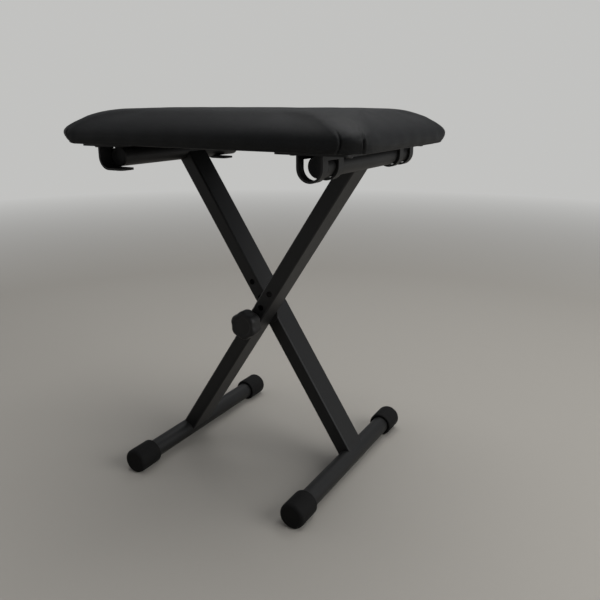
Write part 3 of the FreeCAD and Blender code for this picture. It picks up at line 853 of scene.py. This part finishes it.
def shrunk(points):
    """Draw the rings above the held edge in a little, to leave room for the swelling."""
    less = points.copy()
    height = less[:, :, 2] - SEAT_Z
    share = np.clip((height - SHRINK_FROM) / (SHRINK_FULL - SHRINK_FROM), 0, 1)
    share = share * share * (3 - 2 * share)
    flat = less[:, :, :2] - np.array([SEAT_X, SEAT_Y])
    edge = np.array([HALF_X, HALF_Y])
    less[:, :, :2] -= share[:, :, None] * SHRINK_SIDE * flat / edge
    less[:, :, 2] -= share * SHRINK_TOP
    return less


def coordinates(mesh):
    """Return the places of a mesh's points, one row each."""
    flat = np.empty(3 * len(mesh.vertices))
    mesh.vertices.foreach_get("co", flat)
    return flat.reshape(-1, 3)


def as_evaluated(piece):
    """Return the object as its modifiers shape it at the current frame."""
    return piece.evaluated_get(bpy.context.evaluated_depsgraph_get())


def swelling(points):
    """Return the places of an even copy of the skin and how far its cloth moves from them."""
    blank = skin_over("cushion_blank", points)
    even = blank.modifiers.new("even", "REMESH")
    even.mode = "VOXEL"
    even.voxel_size = EVEN_SIZE
    shape = bpy.data.meshes.new_from_object(as_evaluated(blank))
    soft = add_object("cushion_soft", shape)
    bpy.data.objects.remove(blank)
    held = soft.vertex_groups.new(name="held")
    low = [vertex.index for vertex in shape.vertices if vertex.co.z < SEAT_Z + HELD_BELOW]
    held.add(low, 1.0, "REPLACE")
    cover = soft.modifiers.new("cover", "CLOTH")
    cloth = cover.settings
    cloth.vertex_group_mass = "held"
    cloth.quality = CLOTH_QUALITY
    cloth.tension_stiffness = CLOTH_STRETCH
    cloth.compression_stiffness = CLOTH_STRETCH
    cloth.bending_stiffness = CLOTH_BEND
    cloth.use_pressure = True
    cloth.uniform_pressure_force = PRESSURE
    cloth.effector_weights.gravity = 0
    cover.point_cache.frame_start = 1
    cover.point_cache.frame_end = LAST_FRAME
    for frame_number in range(1, LAST_FRAME + 1):
        bpy.context.scene.frame_set(frame_number)
    moved = coordinates(as_evaluated(soft).data)
    still = coordinates(shape)
    bpy.context.scene.frame_set(1)
    bpy.data.objects.remove(soft)
    return still, moved - still


def follow(points, still, moves):
    """Move each point with the nearest points of the even copy, up to the cap."""
    reach = np.linalg.norm(moves, axis=1, keepdims=True) + 1e-9
    moves = moves / reach * SWELL_CAP * np.tanh(reach / SWELL_CAP)
    tree = kdtree.KDTree(len(still))
    for index, place in enumerate(still):
        tree.insert(place, index)
    tree.balance()
    for ring in points:
        for point in ring:
            near = tree.find_n(point, FOLLOWED)
            weights = np.array([1 / (distance + FOLLOW_SOFTLY) ** 2 for _, _, distance in near])
            point += weights @ moves[[index for _, index, _ in near]] / weights.sum()


cushion_points = target.copy()
cushion_points = shrunk(target)
even_places, even_moves = swelling(cushion_points)
follow(cushion_points[HEM_RINGS:], even_places, even_moves)
print("cloth points", len(even_places))
print("seat top", round(cushion_points[:, :, 2].max(), 4))

# %% [markdown]
# ## Folds at the corners
# A flat sheet of vinyl has too much cloth at a rounded corner. It is folded into two pleats, one
# from each side, that open into the shoulder a few centimetres up. Between them the cover lies a
# little deeper. Under the board the pleats fan out over the hem. Small dents from the staples and
# slow dents in the foam go on at the same time.

# %% Fold the corners
PLEATS = {0: (0.28, 0.83), 1: (0.17, 0.72), 2: (0.30, 0.85), 3: (0.15, 0.70)}
PLEAT_DEEP = 0.0024
PLEAT_WIDE = 0.027
PLEAT_HIGH = 0.027
PLEAT_LIP = 0.2
LIP_BESIDE = 1.9
POCKET_DEEP = 0.0020
POCKET_HIGH = 0.020
POCKET_EDGE = 0.08
HEM_FOLD = 0.0009
HEM_FOLDS = (0.12, 0.37, 0.63, 0.88)
HEM_FOLD_WIDE = 0.05
HEM_LYING_BELOW = 0.0008
STAPLE_GAP = 0.036
STAPLE_PULL = 0.00022
STAPLES_PULL_BELOW = 0.004
FOAM_DENTS_ABOVE = 0.03
FOAM_DENTS = ((17.0, 0.0004), (45.0, 0.0002))
LONG_SIDE = HALF_Y - 0.02


def smooth_step(value, low, high):
    """Return 0 below low, 1 above high and a soft S between them."""
    part = min(max((value - low) / (high - low), 0.0), 1.0)
    return part * part * (3 - 2 * part)


def pleat_depth(part, height, pleats):
    """Return how deep the cover lies at a part (0 to 1) of a corner's turn and a height."""
    depth = 0.0
    for place, inner in zip(pleats, (1, -1)):
        off = (part - place) * inner
        beside = off + LIP_BESIDE * PLEAT_WIDE
        groove = math.exp(-((off / PLEAT_WIDE) ** 2)) * PLEAT_DEEP
        lip = math.exp(-((beside / PLEAT_WIDE) ** 2)) * PLEAT_DEEP * PLEAT_LIP
        depth += (groove - lip) * (1 - smooth_step(height, 0.45 * PLEAT_HIGH, PLEAT_HIGH))
    inside = smooth_step(part, pleats[0], pleats[0] + POCKET_EDGE)
    inside *= 1 - smooth_step(part, pleats[1] - POCKET_EDGE, pleats[1])
    inside *= 1 - smooth_step(height, 0.2 * POCKET_HIGH, POCKET_HIGH)
    return depth + POCKET_DEEP * inside


def hem_fan(part):
    """Return how far the hem stands down over its folded pleats, as a share of a fold."""
    return sum(math.exp(-(((part - place) / HEM_FOLD_WIDE) ** 2)) for place in HEM_FOLDS)


def fold_corners(points):
    """Press the pleats and pockets into the side, and fan the folds out over the hem."""
    ring_start = 0
    for quarter in range(4):
        for k in range(STEPS_CORNER + 1):
            part = k / STEPS_CORNER
            angle = math.radians(90 * (quarter + part))
            out = np.array([math.cos(angle), math.sin(angle)])
            for level, (drawn_in, height) in enumerate(LEVELS):
                point = points[level, ring_start + k]
                if level < HEM_RINGS:
                    under = smooth_step(drawn_in, 0.008, 0.016) * (height < HEM_LYING_BELOW)
                    point[2] -= HEM_FOLD * hem_fan(part) * under
                    edge = 1 - smooth_step(drawn_in, 0.004, 0.03)
                    point[:2] -= out * pleat_depth(part, 0.0, PLEATS[quarter]) * edge
                else:
                    point[:2] -= out * pleat_depth(part, height, PLEATS[quarter])
        ring_start += STEPS_CORNER + (STEPS_LONG if quarter % 2 == 0 else STEPS_SHORT)


def dent(points):
    """Add slow dents of the foam and small pulls where the cover is stapled."""
    for level in range(HEM_RINGS, len(LEVELS)):
        height = LEVELS[level][1]
        firm = smooth_step(height, STAPLES_PULL_BELOW, FOAM_DENTS_ABOVE)
        for point in points[level]:
            place = Vector(point)
            point[2] += firm * sum(noise.noise(place * size) * deep for size, deep in FOAM_DENTS)
            along = point[0] if abs(point[1] - SEAT_Y) > LONG_SIDE else point[1]
            pull = math.cos(2 * math.pi * along / STAPLE_GAP) * STAPLE_PULL * (1 - firm)
            flat = np.array([point[0] - SEAT_X, point[1] - SEAT_Y])
            point[:2] += flat / np.linalg.norm(flat) * pull


fold_corners(cushion_points)
dent(cushion_points)
cushion = skin_over("cushion_cover", cushion_points)
dress(cushion, leatherette, "seat", "seat_leatherette", "seat_cover", "seat_foam", crease=80)

# %% [markdown]
# ## Dust cloth
# Thin black spunbond closes the underside, so that no foam dust falls out. It is cut larger than
# the opening in the cover, turned under at its edge and stapled over the hem. It lies almost flat,
# so it is a fine grid that sags a little in the middle.


# %% Make the dust cloth
def make_spunbond():
    cloth = Finish("dust_cloth", IOR=1.4)
    fibres = cloth.noise(1500, detail=4, rough=0.7)
    cloth.feed(base_color=cloth.blend(fibres, grey(0.008), grey(0.03)))
    cloth.feed(roughness=0.85 + fibres * 0.1)
    cloth.feed(normal=cloth.bump(fibres, 0.0001, 0.6))
    return cloth


CLOTH_INSET = 0.024
CLOTH_THICK = 0.0004
CLOTH_CELL = 0.006
CLOTH_TURNED = 0.009
CLOTH_TURNED_DEEP = 0.0002
CLOTH_SAG = 0.0005
CLOTH_RIPPLES = 22
CLOTH_HIGH = SEAT_Z + 0.0001
CLOTH_X = HALF_X - CLOTH_INSET
CLOTH_Y = HALF_Y - CLOTH_INSET


def cloth_height(x, y):
    """Return the height of the cloth's lower face at a place measured from its middle."""
    from_edge = min(CLOTH_X - abs(x), CLOTH_Y - abs(y))
    slack = smooth_step(from_edge, 0.012, 0.06)
    ripple = noise.noise(Vector((x * CLOTH_RIPPLES, y * CLOTH_RIPPLES, 0.4)))
    turned_under = 1 - smooth_step(from_edge, CLOTH_TURNED - 0.001, CLOTH_TURNED + 0.001)
    sag = CLOTH_SAG * slack * (0.7 + 0.6 * ripple)
    return CLOTH_HIGH - sag - CLOTH_TURNED_DEEP * turned_under


def make_cloth():
    """Return the cloth: a lower grid, an upper copy of it and a rim that joins them."""
    columns = round(2 * CLOTH_X / CLOTH_CELL)
    rows = round(2 * CLOTH_Y / CLOTH_CELL)
    shape = bmesh.new()
    grid = []
    for i in range(columns + 1):
        x = -CLOTH_X + 2 * CLOTH_X * i / columns
        ys = [-CLOTH_Y + 2 * CLOTH_Y * j / rows for j in range(rows + 1)]
        grid.append([shape.verts.new((SEAT_X + x, SEAT_Y + y, cloth_height(x, y))) for y in ys])
    for i in range(columns):
        for j in range(rows):
            shape.faces.new((grid[i][j], grid[i][j + 1], grid[i + 1][j + 1], grid[i + 1][j]))
    upper = bmesh.ops.duplicate(shape, geom=shape.verts[:] + shape.edges[:] + shape.faces[:])
    for item in upper["geom"]:
        if isinstance(item, bmesh.types.BMVert):
            item.co.z += CLOTH_THICK
    edges = [edge for edge in shape.edges if edge.is_boundary]
    bmesh.ops.bridge_loops(shape, edges=edges)
    print("cloth cells", columns * rows)
    return smooth_object("dust_cloth_sheet", shape)


# %% [markdown]
# The staples are short flat wires. Each is a ring stack along its length that narrows at the ends.

# %% Staple the cloth
STAPLE_LONG = 0.0048
STAPLE_WIDE = 0.0005
STAPLE_HIGH = 0.0003
STAPLE_INSET = 0.0045
STAPLE_STEPS = 10
STAPLE_ENDS = ((-1, 0.4), (-0.92, 1), (0.92, 1), (1, 0.4))


def staple(x, y, along_x):
    """Return the rings of one staple crown under the cloth's edge."""
    z = cloth_height(x, y) - 0.0001
    rings = []
    for along, share in STAPLE_ENDS:
        ring = []
        for step in range(STAPLE_STEPS):
            turn = 2 * math.pi * step / STAPLE_STEPS
            across = STAPLE_WIDE * share * math.cos(turn)
            up = STAPLE_HIGH * share * math.sin(turn)
            place = (along * STAPLE_LONG, across) if along_x else (across, along * STAPLE_LONG)
            ring.append((SEAT_X + x + place[0], SEAT_Y + y + place[1], z + up))
        rings.append(ring)
    return rings


def staple_rows():
    """Return the staples round the cloth, a little in from its edge."""
    stacks = []
    long_sides, short_sides = (CLOTH_X, CLOTH_Y, True), (CLOTH_Y, CLOTH_X, False)
    for half_along, half_across, along_x in (long_sides, short_sides):
        count = round(2 * half_along / STAPLE_GAP)
        for step in range(count):
            along = -half_along + 2 * half_along * (step + 0.5) / count
            for turn in (-1, 1):
                across = turn * (half_across - STAPLE_INSET)
                x, y = (along, across) if along_x else (across, along)
                stacks.append(staple(x, y, along_x))
    return stacks


spunbond = make_spunbond()
wear(spunbond, ["seat_dust_cloth"])
dust_cloth = make_cloth()
dress(dust_cloth, spunbond, "seat", "dust_cloth", "seat_dust_cloth", crease=70)
staples = skin_over("cloth_staples", *staple_rows())
dress(staples, zinc, "seat", "zinc_steel")

# %% [markdown]
# ## Studio
# The bench stands on a plain pale floor. Far out the floor fades into the tone of the background,
# so that no horizon shows. Seen from below it is clear, so that the underside of the bench can be
# looked at too.

# %% Lay the floor
BACKDROP = (0.54, 0.54, 0.53, 1)
FLOOR = (0.36, 0.341, 0.308, 1)
FLOOR_REACH = 30
FADE_START = 1.1
FADE_END = 3.0


def make_floor():
    mesh = bpy.data.meshes.new("floor")
    turns = ((-1, -1), (1, -1), (1, 1), (-1, 1))
    corners = [(x * FLOOR_REACH, y * FLOOR_REACH, bench_low.z) for x, y in turns]
    mesh.from_pydata(corners, [], [(0, 1, 2, 3)])
    floor = add_object("floor", mesh)
    pale = Finish("floor_pale", roughness=0.7, base_color=FLOOR)
    length = {"operation": "LENGTH"}
    far = pale.node("ShaderNodeVectorMath", length, {0: pale.where()}, output="Value")
    glow = pale.node("ShaderNodeEmission", {}, {"Color": BACKDROP, "Strength": 1.0})
    fade = pale.ramp(far, FADE_START, FADE_END) * pale.seen()
    near = Value(pale, pale.surface.outputs["BSDF"])
    both = pale.node("ShaderNodeMixShader", {}, {0: fade, 1: near, 2: glow})
    below = pale.node("ShaderNodeNewGeometry", output="Backfacing")
    clear = pale.node("ShaderNodeBsdfTransparent")
    one_sided = pale.node("ShaderNodeMixShader", {}, {0: below, 1: both, 2: clear})
    pale.join(one_sided, pale.tree.nodes["Material Output"].inputs["Surface"])
    mesh.materials.append(pale.material)


make_floor()
print("floor fades from", FADE_START, "to", FADE_END)

# %% [markdown]
# ## Light
# Black steel and vinyl show mostly what they mirror. So the lamps are large and stand above and to
# the right, as the light does in the photograph, with a faint one on the left. The air is darker
# in front of the bench than behind it and to its right.

# %% Hang the lamps
LAMP_AIM = Vector((0, 0, 0.25))


def make_lamp(name, place, size, power):
    """Hang a square soft lamp that shines at the middle of the bench."""
    data = bpy.data.lights.new(name, "AREA")
    data.shape = "RECTANGLE"
    data.size = data.size_y = size
    data.energy = power
    lamp = add_object(name, data)
    lamp.location = place
    lamp.rotation_euler = (LAMP_AIM - Vector(place)).to_track_quat("-Z", "Y").to_euler()
    print(name, power, "W")


make_lamp("window_light", (2.1, 0.1, 1.1), 1.5, 27)
make_lamp("ceiling_light", (0.1, 0.5, 2.3), 2.0, 32)
make_lamp("left_light", (-1.9, -0.6, 1.2), 1.4, 4)

# %% Fill the room with air
AIR_BRIGHT = (0.27, 0.275, 0.285, 1)
AIR_DARK = (0.17, 0.172, 0.18, 1)
world = bpy.data.worlds.new("studio")
bpy.context.scene.world = world
world.use_nodes = True
sky = Web(world.node_tree)
backdrop = sky.node("ShaderNodeBackground", {}, {"Color": BACKDROP, "Strength": 1.0})
toward = sky.node("ShaderNodeTexCoord", output="Generated")
to_right = sky.node("ShaderNodeSeparateXYZ", {}, {"Vector": toward}, output="X")
to_back = sky.node("ShaderNodeSeparateXYZ", {}, {"Vector": toward}, output="Y")
open_side = sky.ramp(to_right * 0.75 + to_back * 0.65, -0.7, 0.8)
air_colour = sky.blend(open_side, AIR_DARK, AIR_BRIGHT)
air = sky.node("ShaderNodeBackground", {}, {"Color": air_colour, "Strength": 1.0})
camera_ray = sky.node("ShaderNodeLightPath", output="Is Camera Ray")
both_skies = sky.node("ShaderNodeMixShader", {}, {0: camera_ray, 1: air, 2: backdrop})
sky.join(both_skies, world.node_tree.nodes["World Output"].inputs["Surface"])
print("air from", AIR_DARK[:3], "to", AIR_BRIGHT[:3])
